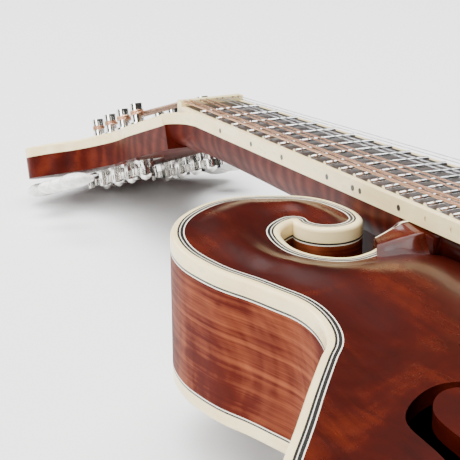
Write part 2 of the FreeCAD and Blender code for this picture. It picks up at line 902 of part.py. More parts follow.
def tuner_key(side, spot, thread):
    thread = thread.copy()
    thread.rotate(V(0, 0, 0), X_AXIS, worm_phase(side))
    shaft = rod(V(-worm_half - 2.6, 0, 0), V(button_start - post_side + 9, 0, 0), shaft_radius)
    core = rod(V(-worm_half, 0, 0), V(worm_half, 0, 0), worm_core)
    collar = rod(V(button_start - post_side - 2.2, 0, 0), V(button_start - post_side - 0.1, 0, 0), 2.5)
    worm = core.fuse([thread, shaft, collar])
    pieces = group([worm, knob()])
    if side < 0:
        pieces.rotate(V(0, 0, 0), Z_AXIS, 180)
    pieces.translate(V(spot.x, spot.y + worm_offset, worm_z))
    pieces.Placement = head_place * pieces.Placement
    return pieces


# ---------------------------------------------------------------- bridge

base_half = 57.0
base_thick = 12.0
base_top = top_arch + 5.8
wheel_gap = 1.1
wheel_thick = 2.6
wheel_radius = 8.5
bridge_post_x = 32.0
bridge_post_radius = 2.0
saddle_half = 42.0
saddle_thick = 6.4


def neck_point(x, y, z):
    return neck_place.multVec(V(x, y, z))


string_at_saddle = neck_point(0, saddle_y, string_height_saddle)
string_at_nut = neck_point(0, 0, string_height_nut)
bridge_line_y = string_at_saddle.y
wheel_z = base_top + wheel_gap
saddle_low = wheel_z + wheel_thick + 0.3


def mirrored_wire(half, closing_y):
    """A closed face in the XZ plane from the right half of its upper edge."""
    upper = [(-x, 0, z) for x, z in half[::-1]] + [(x, 0, z) for x, z in half[1:]]
    low = [(half[-1][0], 0, closing_y), (-half[-1][0], 0, closing_y)]
    edges = [curve_through(upper)]
    corners = [upper[-1], low[0], low[1], upper[0]]
    for a, b in zip(corners, corners[1:]):
        edges.append(Part.LineSegment(V(*a), V(*b)).toShape())
    return Part.Face(Part.Wire(edges))


def bridge_base():
    half = [(0, base_top), (14, base_top), (27, base_top), (36, base_top), (40.5, base_top - 0.3)]
    half += [(44, base_top - 1.5), (49, base_top - 4.2), (base_half, 10.8)]
    bar = mirrored_wire(half, 2.0).extrude(V(0, base_thick, 0))
    bar.translate(V(0, bridge_line_y - base_thick / 2, 0))
    for side in side_signs:
        spot = V(side * bridge_post_x, bridge_line_y, top_arch + 1.5)
        bar = bar.cut(Part.makeCylinder(bridge_post_radius, 30, spot))
    relief = Part.makeCylinder(14, 40, V(0, bridge_line_y - 20, top_arch - 10.8), Y_AXIS)
    arch = box(-20, 20, bridge_line_y - 20, bridge_line_y + 20, top_arch - 3, top_arch + 1.4)
    bar = bar.cut(arch.common(relief))
    return solids_of(bar.cut(under_top), 50)


def bridge_posts():
    posts = []
    for side in side_signs:
        spot = V(side * bridge_post_x, bridge_line_y, top_arch + 1.5)
        posts.append(Part.makeCylinder(bridge_post_radius, saddle_low + 2.2 - spot.z, spot))
    return group(posts)


def thumbwheel(side):
    spot = V(side * bridge_post_x, bridge_line_y, wheel_z)
    wheel = Part.makeCylinder(wheel_radius, wheel_thick, spot)
    bite = []
    count = 24
    for k in range(count):
        a = 2 * math.pi * k / count
        rim_spot = spot + V(math.cos(a), math.sin(a), 0) * (wheel_radius + 0.2)
        bite.append(Part.makeCylinder(0.7, wheel_thick, rim_spot))
    return wheel.cut(bite).cut(Part.makeCylinder(bridge_post_radius + 0.06, 20, spot - V(0, 0, 5)))


def bridge_saddle():
    crest = string_at_saddle.z - 0.45 - string_gap
    drops = [(0, -0.5), (14, -0.3), (26, 0.25), (38, 1.4), (saddle_half, 3.2)]
    half = [(x, crest - drop) for x, drop in drops]
    bar = mirrored_wire(half, saddle_low).extrude(V(0, saddle_thick, 0))
    bar.translate(V(0, bridge_line_y - saddle_thick / 2, 0))
    slope = saddle_thick / 2
    for turn in (-1, 1):
        corners = [(turn * 0.9, crest + 3), (turn * 9, crest + 3), (turn * slope, crest - 3.4)]
        wedge = polygon_face([(0, y, z) for y, z in corners]).extrude(V(120, 0, 0))
        wedge.translate(V(-60, bridge_line_y, 0))
        bar = bar.cut(wedge)
    for side in side_signs:
        spot = V(side * bridge_post_x, bridge_line_y, saddle_low - 0.8)
        bar = bar.cut(Part.makeCylinder(bridge_post_radius + 0.06, 4.0, spot))
    slots = []
    for x, diameter in string_spots(saddle_pitch, pair_gap_saddle):
        place = V(x, bridge_line_y, string_at_saddle.z)
        slots.append(rod(place - V(0, 6, 1.1), place + V(0, 6, -0.0), diameter / 2 + string_gap))
        slots.append(rod(place - V(0, 6, 0), place + V(0, 6, -0.6), diameter / 2 + string_gap))
    return solids_of(bar.cut(slots), 50)


# ---------------------------------------------------------------- tailpiece and strap button

tail_plate_z = 3.4
tail_half = 23.0
tail_front = -236.0
hook_y = -258.0
hook_z = 6.5
cover_top = 15.5
cover_wall = 1.0
mouth_top = 12.2           # strings pass under this edge of the lid
strap_z = -27.0
strap_head_radius = 7.0
strap_head_length = 3.5
strap_neck_radius = 4.0
strap_neck_length = 8.0
plate_metal = 1.2


def strap_pin():
    return Part.makeCylinder(3.0, 16.0, V(0, tail_y + 14.0, strap_z), Y_AXIS * -1)


def strap_button():
    pin = strap_pin()
    start = tail_y - plate_metal
    neck_part = Part.makeCylinder(strap_neck_radius, strap_neck_length, V(0, start, strap_z), Y_AXIS * -1)
    head_start_y = start - strap_neck_length
    head = Part.makeCylinder(strap_head_radius, strap_head_length, V(0, head_start_y, strap_z), Y_AXIS * -1)
    return pin.fuse([neck_part, head]).removeSplitter()


def tailpiece_base():
    """A bent plate: flat over the top's edge, down the tail, with eight hooks for the string loops."""
    half = tail_half - 2
    back = tail_y - plate_metal
    flat = box(-half, half, back, tail_front - 2, tail_plate_z, tail_plate_z + plate_metal)
    apron = box(-half, half, back, tail_y, 0.0, tail_plate_z + 0.5)
    tongue_face = polygon_face([(-half, 0, 0.5), (half, 0, 0.5), (9, 0, strap_z - 10), (-9, 0, strap_z - 10)])
    tongue = tongue_face.extrude(V(0, plate_metal, 0))
    tongue.translate(V(0, back, 0))
    base = flat.fuse([apron, tongue])
    base = base.cut(strap_pin())
    for x, diameter in string_spots(saddle_pitch * 0.82, pair_gap_saddle * 1.15):
        hook = rod(V(x, hook_y - 2.0, tail_plate_z + 0.6), V(x, hook_y - 2.0, hook_z + 1.2), 0.9)
        base = base.fuse(hook)
    for x, z in tail_screw_spots:
        base = base.cut(Part.makeCylinder(1.3, 6, V(x, tail_y + 1, z), Y_AXIS * -1))
    return base


tail_screw_spots = [(-11.0, -11.0), (11.0, -11.0), (0.0, -17.0)]


def tailpiece_screws():
    screws = []
    for x, z in tail_screw_spots:
        start = V(x, tail_y - plate_metal, z)
        shank = Part.makeCylinder(1.25, 11.0, start, Y_AXIS)
        screws.append(shank.fuse(Part.makeSphere(2.6, start, Y_AXIS * -1, 0, 90, 360)))
    return group(screws)


def tailpiece_cover():
    """A pressed lid with a rounded roof, open underneath, towards the strings and at the tail's apron."""
    gap = 0.4
    floor_z = tail_plate_z + plate_metal + gap

    def lid(shrink, lower):
        roof = cover_top - shrink
        half = [(0, roof), (10, roof - 0.5), (tail_half - 4, roof - 3.2), (tail_half - shrink, floor_z + 4.0)]
        face = mirrored_wire(half, lower)
        long = face.extrude(V(0, tail_front - tail_y + 4.0 - 2 * shrink, 0))
        long.translate(V(0, tail_y - 4.0 + shrink, 0))
        return long
    shell = lid(0, floor_z).cut(lid(cover_wall, floor_z - 3))
    half_mouth = tail_half - 2.4
    mouth = box(-half_mouth, half_mouth, tail_front - 4, tail_front + 4, floor_z - 2, mouth_top)
    return shell.cut(mouth)


# ---------------------------------------------------------------- fingerboard riser

wing_plan = [(15.0, 1.9), (23.0, 0.8), (28.5, -0.8), (30.3, -4.5), (28.0, -8.5), (23.5, -12.5), (20.2, -17.0),
             (15.0, -17.0)]
wing_roof = [(14.0, 7.3), (19.5, 7.1), (24.0, 5.0), (28.0, 3.0), (31.0, 2.0)]


def fingerboard_riser():
    """Wood between the carved top and the free end of the fingerboard, with a small wing at each side."""
    start = joint_y + 2
    end = fret_y(last_fret) - 3.0
    half = joint_width / 2 - 2.6
    corners = [(-half, start), (half, start), (half + 1.2, end), (-half - 1.2, end)]
    block = slab(polygon_face([(x, y, 0) for x, y in corners]), -28, -board_thickness)
    block.Placement = neck_place
    wings = []
    for side in side_signs:
        wing = slab(polygon_face([(side * x, y, 0) for x, y in wing_plan]), -3, 12)
        outline_xz = wing_roof + [(31.0, -6.0), (14.0, -6.0)]
        roof = polygon_face([(side * x, 0, z) for x, z in outline_xz]).extrude(V(0, 30, 0))
        roof.translate(V(0, -24, 0))
        wings.append(wing.common(roof))
    riser = block.fuse(wings).cut(under_top)
    return solids_of(riser.cut([tenon(), fingerboard(), fingerboard_binding()]), 50)


# ---------------------------------------------------------------- strings

def string_spots(pitch, pair_gap):
    spots = []
    for course, diameter in enumerate(string_diameters):
        centre = (course - 1.5) * pitch
        spots.append((centre - pair_gap / 2, diameter))
        spots.append((centre + pair_gap / 2, diameter))
    return spots


def strings_speaking():
    wires = []
    nut_side = string_spots(nut_pitch, pair_gap_nut)
    saddle_side = string_spots(saddle_pitch, pair_gap_saddle)
    for (x0, diameter), (x1, _) in zip(nut_side, saddle_side):
        start = neck_point(x0, -0.2, string_height_nut)
        end = neck_point(x1, saddle_y, string_height_saddle)
        wires.append(rod(start, end, diameter / 2))
    return group(wires)


def strings_tail():
    wires = []
    saddle_side = string_spots(saddle_pitch, pair_gap_saddle)
    hook_side = string_spots(saddle_pitch * 0.82, pair_gap_saddle * 1.15)
    for (x0, diameter), (x1, _) in zip(saddle_side, hook_side):
        start = neck_point(x0, saddle_y, string_height_saddle) - V(0, 1.6, 0.25)
        wires.append(rod(start, V(x1, hook_y, hook_z), diameter / 2))
    return group(wires)


def post_order():
    """Posts in string order, from the low course to the high one."""
    bass = [spot for side, spot in post_positions() if side < 0]
    treble = [spot for side, spot in post_positions() if side > 0]
    return bass + treble[::-1]


def strings_head():
    wires = []
    for (x0, diameter), spot in zip(string_spots(nut_pitch, pair_gap_nut), post_order()):
        start = neck_point(x0, nut_length - 0.6, string_height_nut - 0.7)
        inner = math.copysign(post_radius + diameter / 2 + 0.35, spot.x) * -1
        end = head_place.multVec(V(spot.x + inner, spot.y, post_top - 4.3))
        wires.append(rod(start, end, diameter / 2))
    return group(wires)


# ---------------------------------------------------------------- assembly

def all_nodes():
    nodes = {}
    nodes["top_plate"] = top_plate()
    nodes["back_plate"] = back_plate()
    nodes.update(ribs())
    room = room_between_plates()
    nodes["head_block"] = head_block(room)
    nodes["tail_block"] = tail_block(room)
    nodes["point_blocks"] = point_blocks(room)
    nodes["linings"] = linings()
    nodes["tone_bars"] = tone_bars()
    nodes["top_binding"] = top_binding()
    nodes["back_binding"] = back_binding()
    nodes["top_purfling"] = purfling_ring().cut(tenon())
    nodes["side_purfling"] = side_purfling()
    nodes["neck"] = neck()
    nodes["heel_cap"] = heel_cap()
    nodes["fingerboard"] = fingerboard()
    nodes["fingerboard_binding"] = fingerboard_binding()
    nodes["fingerboard_riser"] = fingerboard_riser()
    nodes["frets"] = frets()
    nodes["side_dots"] = side_dots()
    nodes["nut"] = nut()
    nodes["headstock_veneer"] = headstock_veneer()
    nodes["headstock_binding"] = headstock_binding()
    nodes["truss_rod"] = truss_rod()
    nodes["truss_rod_nut"] = truss_rod_nut()
    nodes["truss_rod_cover"] = truss_rod_cover()
    nodes["headstock_screws"] = headstock_screws()
    nodes["bridge_base"] = bridge_base()
    nodes["bridge_posts"] = bridge_posts()
    nodes["thumbwheel_bass"] = thumbwheel(-1)
    nodes["thumbwheel_treble"] = thumbwheel(1)
    nodes["bridge_saddle"] = bridge_saddle()
    nodes["tailpiece_base"] = tailpiece_base()
    nodes["tailpiece_cover"] = tailpiece_cover()
    nodes["tailpiece_screws"] = tailpiece_screws()
    nodes["strap_button"] = strap_button()
    nodes["strings_speaking"] = strings_speaking()
    nodes["strings_tail"] = strings_tail()
    nodes["strings_head"] = strings_head()
    nodes["tuner_plates"] = tuner_plates()
    nodes["post_bushings"] = post_bushings()
    thread = worm_thread()
    for number, (side, spot) in enumerate(post_positions(), start=1):
        nodes["tuner_post_%d" % number] = tuner_post(side, spot)
        nodes["tuner_key_%d" % number] = tuner_key(side, spot, thread)
    return nodes


def rest_place(nodes):
    """Lean the instrument back, then put the origin at the middle of its box, on the floor."""
    lean = Placement(V(0, 0, 0), Rotation(X_AXIS, rest_angle))
    frame = FreeCAD.BoundBox()
    for shape in nodes.values():
        turned = shape.copy()
        turned.Placement = lean * turned.Placement
        frame.add(turned.optimalBoundingBox(False))
    return Placement(V(0, -(frame.YMin + frame.YMax) / 2, -frame.ZMin), Rotation()) * lean


def main():
    nodes = all_nodes()
    place = rest_place(nodes)
    os.makedirs("parts", exist_ok=True)
    for name, shape in nodes.items():
        shape.Placement = place * shape.Placement
        shape.exportStep(os.path.join("parts", name + ".step"))
    return nodes, place


if __name__ == "__main__":
    main()
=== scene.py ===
import json
import math

import bmesh
import bpy
from mathutils import Matrix, Vector
from mathutils.bvhtree import BVHTree


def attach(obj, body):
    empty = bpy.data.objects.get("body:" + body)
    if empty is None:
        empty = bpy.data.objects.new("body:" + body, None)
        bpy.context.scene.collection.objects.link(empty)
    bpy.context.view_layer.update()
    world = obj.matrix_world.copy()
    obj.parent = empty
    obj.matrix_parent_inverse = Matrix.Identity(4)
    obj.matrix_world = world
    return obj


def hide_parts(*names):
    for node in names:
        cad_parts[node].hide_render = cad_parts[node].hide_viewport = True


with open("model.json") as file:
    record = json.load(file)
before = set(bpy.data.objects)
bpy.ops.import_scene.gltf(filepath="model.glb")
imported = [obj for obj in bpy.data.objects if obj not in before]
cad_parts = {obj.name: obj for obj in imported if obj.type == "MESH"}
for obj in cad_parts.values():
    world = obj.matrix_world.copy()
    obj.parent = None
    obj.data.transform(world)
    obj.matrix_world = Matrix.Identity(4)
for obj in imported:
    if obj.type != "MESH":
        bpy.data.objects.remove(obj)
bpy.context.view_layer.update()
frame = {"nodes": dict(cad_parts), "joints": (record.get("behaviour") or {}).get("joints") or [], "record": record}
nodes = frame["nodes"]
joints = {joint["name"]: joint for joint in frame["joints"]}
slotOf = {part["node"]: part["material_slot"] for part in frame["record"]["subparts"]}
mm = 0.001

# three frames that everything is placed in: the body, the neck and the head
layout = {
    "bridgeY": -146.895,       # thumbwheels in the body frame, in millimetres
    "wheelZ": 21.9,
    "boardLift": 13.0,
    "jointY": -204.002,
    "neckAngle": 5.5,
    "headStart": 5.0,
    "headDrop": 2.5,
    "headAngle": 14.5,
}


def turnX(degrees):
    return Matrix.Rotation(math.radians(degrees), 4, "X")


def shift(x, y, z):
    return Matrix.Translation(Vector((x, y, z)) * mm)


def makeFrames():
    up = Vector(joints["saddle_height"]["axis"]).normalized()
    right = Vector((1, 0, 0))
    along = up.cross(right)
    wheels = [Vector(joints["thumbwheel_%s_turn" % side]["pos_m"]) for side in ("bass", "treble")]
    middle = (wheels[0] + wheels[1]) / 2
    origin = middle - along * layout["bridgeY"] * mm - up * layout["wheelZ"] * mm
    body = Matrix((right, along, up)).transposed().to_4x4()
    body.translation = origin
    neck = body @ shift(0, 0, layout["boardLift"]) @ turnX(-layout["neckAngle"])
    neck = neck @ shift(0, -layout["jointY"], 0)
    head = neck @ shift(0, layout["headStart"], -layout["headDrop"]) @ turnX(-layout["headAngle"])
    return body, neck, head


bodyFrame, neckFrame, headFrame = makeFrames()
bodyLean = math.degrees(bodyFrame.to_euler().x)


def at(placing, x, y, z):
    return placing @ (Vector((x, y, z)) * mm)


# shader maths

class Value:
    def __init__(self, look, socket):
        self.look = look
        self.socket = socket

    def maths(self, operation, first, second):
        return self.look.node("ShaderNodeMath", {"operation": operation}, {0: first, 1: second})

    def __add__(self, other):
        return self.maths("ADD", self, other)

    def __radd__(self, other):
        return self.maths("ADD", other, self)

    def __sub__(self, other):
        return self.maths("SUBTRACT", self, other)

    def __rsub__(self, other):
        return self.maths("SUBTRACT", other, self)

    def __mul__(self, other):
        return self.maths("MULTIPLY", self, other)

    def __rmul__(self, other):
        return self.maths("MULTIPLY", other, self)

    def __lt__(self, other):
        return self.maths("LESS_THAN", self, other)


class Look:
    def __init__(self, name, **uniform):
        self.material = bpy.data.materials.new(name)
        self.material.use_nodes = True
        self.tree = self.material.node_tree
        self.shader = next(n for n in self.tree.nodes if n.type == "BSDF_PRINCIPLED")
        for socket, value in uniform.items():
            self.shader.inputs[socket.replace("_", " ")].default_value = value

    def node(self, kind, settings=None, sockets=None, out=0):
        made = self.tree.nodes.new(kind)
        for name, value in (settings or {}).items():
            if name == "stops":
                self.setStops(made.color_ramp, value)
            else:
                setattr(made, name, value)
        for key, value in (sockets or {}).items():
            self.feed(made.inputs[key], value)
        return Value(self, made.outputs[out])

    def setStops(self, ramp, stops):
        while len(ramp.elements) < len(stops):
            ramp.elements.new(0.5)
        for element, (place, colour) in zip(ramp.elements, stops):
            element.position = place
            element.color = (*colour, 1)

    def feed(self, socket, value):
        if isinstance(value, Value):
            self.tree.links.new(value.socket, socket)
        elif isinstance(value, (tuple, list, Vector)) and len(socket.default_value) == 4:
            socket.default_value = (*value[:3], 1)
        else:
            socket.default_value = value

    def place(self, scale=(1, 1, 1), turn=(0, 0, 0)):
        coordinates = self.node("ShaderNodeTexCoord", out="Object")
        sockets = {"Vector": coordinates, "Rotation": [math.radians(a) for a in turn], "Scale": scale}
        return self.node("ShaderNodeMapping", {"vector_type": "TEXTURE"}, sockets)

    def stretch(self, where, scale):
        return self.node("ShaderNodeMapping", None, {"Vector": where, "Scale": scale})

    def noise(self, where, scale, detail=4.0, roughness=0.55, distortion=0.0):
        sockets = {"Vector": where, "Scale": scale, "Detail": detail, "Roughness": roughness,
                   "Distortion": distortion}
        return self.node("ShaderNodeTexNoise", None, sockets)

    def ramp(self, factor, stops, interpolation="LINEAR"):
        made = self.node("ShaderNodeValToRGB", {"stops": stops}, {"Fac": factor})
        made.socket.node.color_ramp.interpolation = interpolation
        return made

    def mix(self, factor, first, second):
        return self.node("ShaderNodeMix", {"data_type": "RGBA"}, {0: factor, 6: first, 7: second}, out=2)

    def spread(self, factor, low, high, to0=0.0, to1=1.0):
        sockets = {"Value": factor, "From Min": low, "From Max": high, "To Min": to0, "To Max": to1}
        return self.node("ShaderNodeMapRange", None, sockets)

    def finish(self, colour=None, roughness=None, bump=None, strength=0.2, distance=0.0002):
        if colour is not None:
            self.feed(self.shader.inputs["Base Color"], colour)
        if roughness is not None:
            self.feed(self.shader.inputs["Roughness"], roughness)
        if bump is not None:
            sockets = {"Height": bump, "Strength": strength, "Distance": distance}
            self.feed(self.shader.inputs["Normal"], self.node("ShaderNodeBump", None, sockets))
        return self.material


# finishes

acrossStrip = "acrossStrip"    # attribute that runs from 0 to 1 across a laid line

# grain is how fine the figure is along each axis; cloud and flame are the shares of blotches and bands
woodLooks = {
    "top": {"grain": (90, 6, 90), "dark": (0.010, 0.0007, 0.0003), "mid": (0.034, 0.0026, 0.0009),
            "light": (0.10, 0.014, 0.0045), "coat": 0.16, "rough": 0.28, "shine": 0.20, "cloud": 0.5},
    "rib": {"grain": (10, 10, 620), "dark": (0.019, 0.0012, 0.0005), "mid": (0.070, 0.0068, 0.0022),
            "light": (0.34, 0.095, 0.036), "coat": 0.0, "rough": 0.5, "shine": 0.05, "cloud": 0.66},
    "neck": {"flame": 0.14, "grain": (70, 8, 70), "dark": (0.018, 0.0011, 0.0005),
             "mid": (0.050, 0.0040, 0.0014), "light": (0.115, 0.016, 0.0055), "coat": 0.0, "rough": 0.45,
             "shine": 0.06, "cloud": 0.4},
}


def stainedWood(name, grain, dark, mid, light, coat, rough, shine, cloud, flame=0.0):
    look = Look(name, Coat_Weight=coat, Coat_Roughness=0.07, Specular_IOR_Level=shine)
    level = look.place(turn=(bodyLean, 0, 0))
    long = look.stretch(level, grain)
    fibres = look.noise(long, 1.0, 6.0, 0.62, 0.4)
    pores = look.noise(long, 5.0, 3.0, 0.7)
    clouds = look.noise(level, 26.0, 4.0, 0.6, 0.6)
    tone = fibres * (1 - cloud) + clouds * cloud
    if flame:
        sockets = {"Vector": level, "Scale": 34.0, "Distortion": 5.0, "Detail": 2.0, "Detail Scale": 1.6}
        bands = look.node("ShaderNodeTexWave", {"bands_direction": "Y"}, sockets)
        tone = tone * (1 - flame) + bands * flame
    colour = look.ramp(tone, [(0.30, dark), (0.50, mid), (0.72, light)])
    streaks = look.spread(pores, 0.54, 0.68)
    colour = look.mix(streaks * 0.35, colour, dark)
    roughness = look.spread(tone, 0.3, 0.7, rough + 0.06, rough - 0.05)
    return look.finish(colour, roughness, pores, 0.10, 0.00015)


def ivoryLook():
    look = Look("ivoryBinding", Coat_Weight=0.25, Coat_Roughness=0.1, Specular_IOR_Level=0.35,
                Subsurface_Weight=0.08, Subsurface_Scale=0.002)
    level = look.place(turn=(bodyLean, 0, 0))
    lines = look.noise(look.stretch(level, (14, 14, 420)), 1.0, 4.0)
    spots = look.noise(level, 60.0, 4.0, 0.6)
    tone = lines * 0.4 + spots * 0.6
    creams = [(0.32, (0.80, 0.61, 0.29)), (0.52, (0.90, 0.74, 0.40)), (0.75, (0.95, 0.83, 0.52))]
    colour = look.ramp(tone, creams)
    return look.finish(colour, look.spread(tone, 0.3, 0.7, 0.34, 0.24), spots, 0.05)


def lineLook(name, stops):
    look = Look(name, Coat_Weight=0.2, Coat_Roughness=0.1, Specular_IOR_Level=0.3)
    across = look.node("ShaderNodeAttribute", {"attribute_name": acrossStrip}, out="Fac")
    fibre = look.noise(look.place(), 700.0, 3.0)
    colour = look.ramp(across, stops, "CONSTANT")
    colour = look.mix(fibre * 0.06, colour, (0.30, 0.27, 0.22))
    return look.finish(colour, look.spread(fibre, 0.3, 0.7, 0.35, 0.26), fibre, 0.05, 0.0001)


def darkWood(name, base, light, rough, coat):
    look = Look(name, Coat_Weight=coat, Coat_Roughness=0.12)
    long = look.place(scale=(0.011, 0.12, 0.011))
    fibres = look.noise(long, 1.0, 6.0, 0.65, 0.3)
    pores = look.noise(look.place(scale=(0.0016, 0.022, 0.0016)), 1.0, 2.0, 0.6)
    colour = look.ramp(fibres, [(0.35, base), (0.75, light)])
    colour = look.mix(look.spread(pores, 0.58, 0.66) * 0.8, colour, (0.004, 0.003, 0.003))
    return look.finish(colour, look.spread(fibres, 0.3, 0.7, rough, rough + 0.1), pores, 0.25, 0.0001)


def metalLook(name, colour, rough, brushed=0.0):
    look = Look(name, Metallic=1.0)
    smudge = look.noise(look.place(), 90.0, 5.0, 0.6)
    scratches = look.noise(look.place(scale=(0.0005, 0.02, 0.0005)), 1.0, 3.0, 0.7)
    tint = look.mix(smudge * 0.25, colour, [c * 0.82 for c in colour])
    roughness = look.spread(smudge, 0.35, 0.7, rough, rough + 0.10) + scratches * brushed
    return look.finish(tint, roughness, scratches, 0.04 + brushed, 0.00005)


def pearlLook():
    look = Look("pearlButton", Coat_Weight=0.4, Coat_Roughness=0.1, Subsurface_Weight=0.1,
                Subsurface_Scale=0.002)
    swirl = look.noise(look.place(), 210.0, 3.0, 0.5, 2.4)
    sockets = {"Vector": look.place(), "Scale": 420.0}
    flakes = look.node("ShaderNodeTexVoronoi", None, sockets, out="Color")
    grey = look.node("ShaderNodeRGBToBW", None, {"Color": flakes})
    tone = swirl * 0.7 + grey * 0.3
    whites = [(0.3, (0.66, 0.66, 0.64)), (0.5, (0.86, 0.86, 0.83)), (0.7, (0.97, 0.96, 0.93))]
    colour = look.ramp(tone, whites)
    return look.finish(colour, look.spread(tone, 0.3, 0.7, 0.28, 0.16), swirl, 0.04)


def rawWood():
    look = Look("insideWood")
    fibres = look.noise(look.place(scale=(0.006, 0.14, 0.006)), 1.0, 6.0, 0.6, 0.5)
    colour = look.ramp(fibres, [(0.3, (0.33, 0.17, 0.075)), (0.7, (0.62, 0.41, 0.21))])
    return look.finish(colour, look.spread(fibres, 0.3, 0.7, 0.62, 0.78), fibres, 0.3)


def stringLook():
    look = Look("stringWire", Metallic=1.0)
    where = look.place()
    sideways = look.node("ShaderNodeSeparateXYZ", None, {"Vector": where}, out="X")
    lap = look.node("ShaderNodeTexWave", {"bands_direction": "Y"}, {"Vector": where, "Scale": 620.0})
    wound = sideways < 0.0    # the bass strings are wound, the others are plain
    colour = look.mix(wound, (0.72, 0.72, 0.74), (0.76, 0.44, 0.27))
    # painted shade: the wound strings are darkened in bands along the lap wave, for the grooves between the
    # windings
    colour = look.mix(wound * lap * 0.45, colour, (0.22, 0.10, 0.06))
    return look.finish(colour, look.spread(lap, 0.0, 1.0, 0.24, 0.34), wound * lap, 0.6, 0.00008)


def makeFinishes():
    ivory = ivoryLook()
    cream = (0.88, 0.78, 0.52)
    black = (0.010, 0.009, 0.009)
    white = (0.86, 0.80, 0.66)
    topLines = [(0.0, black), (0.30, white), (0.42, black), (0.84, white)]
    return {
        "topWood": stainedWood("stainedTop", **woodLooks["top"]),
        "ribWood": stainedWood("stainedRib", **woodLooks["rib"]),
        "neck_wood": stainedWood("flamedNeck", **woodLooks["neck"]),
        "inner_wood": rawWood(),
        "ivory": ivory,
        "purfling": lineLook("purflingLines", topLines),
        "strip": lineLook("jointStrip", [(0.0, black), (0.2, cream), (0.8, black)]),
        "sideLines": lineLook("sideLines", [(0.0, black), (0.62, white)]),
        "dotInlay": lineLook("dotInlay", [(0.0, black), (1.0, black)]),
        "ebony": darkWood("ebonyBoard", (0.012, 0.008, 0.006), (0.045, 0.026, 0.018), 0.38, 0.15),
        "black_veneer": darkWood("blackHead", (0.007, 0.006, 0.006), (0.016, 0.013, 0.012), 0.22, 1.0),
        "nickel": metalLook("polishedNickel", (0.86, 0.84, 0.80), 0.10),
        "fretWire": metalLook("fretWire", (0.88, 0.88, 0.87), 0.14, 0.05),
        "steel": metalLook("drawnSteel", (0.62, 0.62, 0.63), 0.26, 0.12),
        "string_set": stringLook(),
        "pearl": pearlLook(),
        "bone": ivory,
    }


finishes = makeFinishes()
ownFinish = {"top_plate": "topWood", "back_plate": "topWood", "fingerboard_riser": "topWood",
             "frets": "fretWire", "side_dots": "dotInlay", "side_purfling": "sideLines"}


def finishOf(node):
    if node.startswith("rib_"):
        return finishes["ribWood"]
    return finishes[ownFinish.get(node, slotOf[node])]


for name, node in nodes.items():
    node.data.materials.clear()
    node.data.materials.append(finishOf(name))
print("finishes made")


# building helpers

mergeDistance = 0.000002


def copyOf(name):
    shape = bmesh.new()
    shape.from_mesh(nodes[name].data)
    bmesh.ops.remove_doubles(shape, verts=shape.verts, dist=mergeDistance)
    return shape


def addPiece(shape, name, body, materials, replaced=(), smooth=35):
    # smooth is the sharpest bend, in degrees, that is still shaded smooth
    mesh = bpy.data.meshes.new(name)
    shape.to_mesh(mesh)
    shape.free()
    piece = bpy.data.objects.new(name, mesh)
    bpy.context.scene.collection.objects.link(piece)
    for material in materials:
        mesh.materials.append(material)
    mesh.shade_smooth()
    mesh.set_sharp_from_angle(angle=math.radians(smooth))
    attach(piece, body)
    if replaced:
        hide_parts(*replaced)


def direction(placing, x, y, z):
    return placing.to_3x3() @ Vector((x, y, z))


def newVerts(shape, before):
    return [v for v in shape.verts if v not in before]


def only(kind, geometry):
    return [part for part in geometry if isinstance(part, kind)]


def islands(shape):
    # groups of vertices that are joined by edges
    left = dict.fromkeys(shape.verts)
    found = []
    while left:
        stack = [next(iter(left))]
        del left[stack[0]]
        group = []
        while stack:
            vert = stack.pop()
            group.append(vert)
            for edge in vert.link_edges:
                other = edge.other_vert(vert)
                if other in left:
                    del left[other]
                    stack.append(other)
        found.append(group)
    return found


def faceTowards(shape, outward):
    bmesh.ops.recalc_face_normals(shape, faces=shape.faces)
    if sum((f.normal for f in shape.faces), Vector()).dot(Vector(outward)) < 0:
        bmesh.ops.reverse_faces(shape, faces=shape.faces)


def lathe(shape, profile, steps, placing):
    # profile is (along, radius) in millimetres, turned round the local X axis
    verts = [shape.verts.new((along * mm, radius * mm, 0)) for along, radius in profile]
    edges = [shape.edges.new(pair) for pair in zip(verts, verts[1:])]
    before = set(shape.verts) - set(verts)
    bmesh.ops.spin(shape, geom=verts + edges, cent=(0, 0, 0), axis=(1, 0, 0), dvec=(0, 0, 0),
                   angle=math.tau, steps=steps, use_merge=True, use_duplicate=False)
    bmesh.ops.remove_doubles(shape, verts=newVerts(shape, before), dist=mergeDistance / 2)
    made = newVerts(shape, before)
    bmesh.ops.transform(shape, matrix=placing, verts=made)
    return made


def wire(shape, start, end, radius, sides):
    line = end - start
    turn = line.to_track_quat("Z", "Y").to_matrix().to_4x4()
    place = Matrix.Translation((start + end) / 2) @ turn
    bmesh.ops.create_cone(shape, cap_ends=True, segments=sides, radius1=radius, radius2=radius,
                          depth=line.length, matrix=place)


# bindings: a rounded section carried along the outer edge of the CAD strip

bindingSetup = {
    "round": 1.3,          # radius of the scraped outer corner, millimetres
    "roundSteps": 4,
    "bodyWidth": 2.2,
    "headWidth": 2.0,
    "flat": 0.9,           # a face is flat when its normal points at least this much upright
    "wall": 0.3,           # and a wall when it points less than this
    "sharpest": 0.5,       # keeps the mitre short in a sharp corner
}


def loopOf(shape, upright, isOuter):
    # edges where the flat face meets the outer wall, each with its way inwards
    setup = bindingSetup
    loop = {}
    for edge in shape.edges:
        if len(edge.link_faces) != 2:
            continue
        flat = [f for f in edge.link_faces if f.normal.dot(upright) > setup["flat"]]
        wall = [f for f in edge.link_faces if abs(f.normal.dot(upright)) < setup["wall"]]
        if len(flat) == 1 and len(wall) == 1 and isOuter(edge):
            inward = -wall[0].normal
            loop[edge] = (inward - upright * inward.dot(upright)).normalized()
    return loop


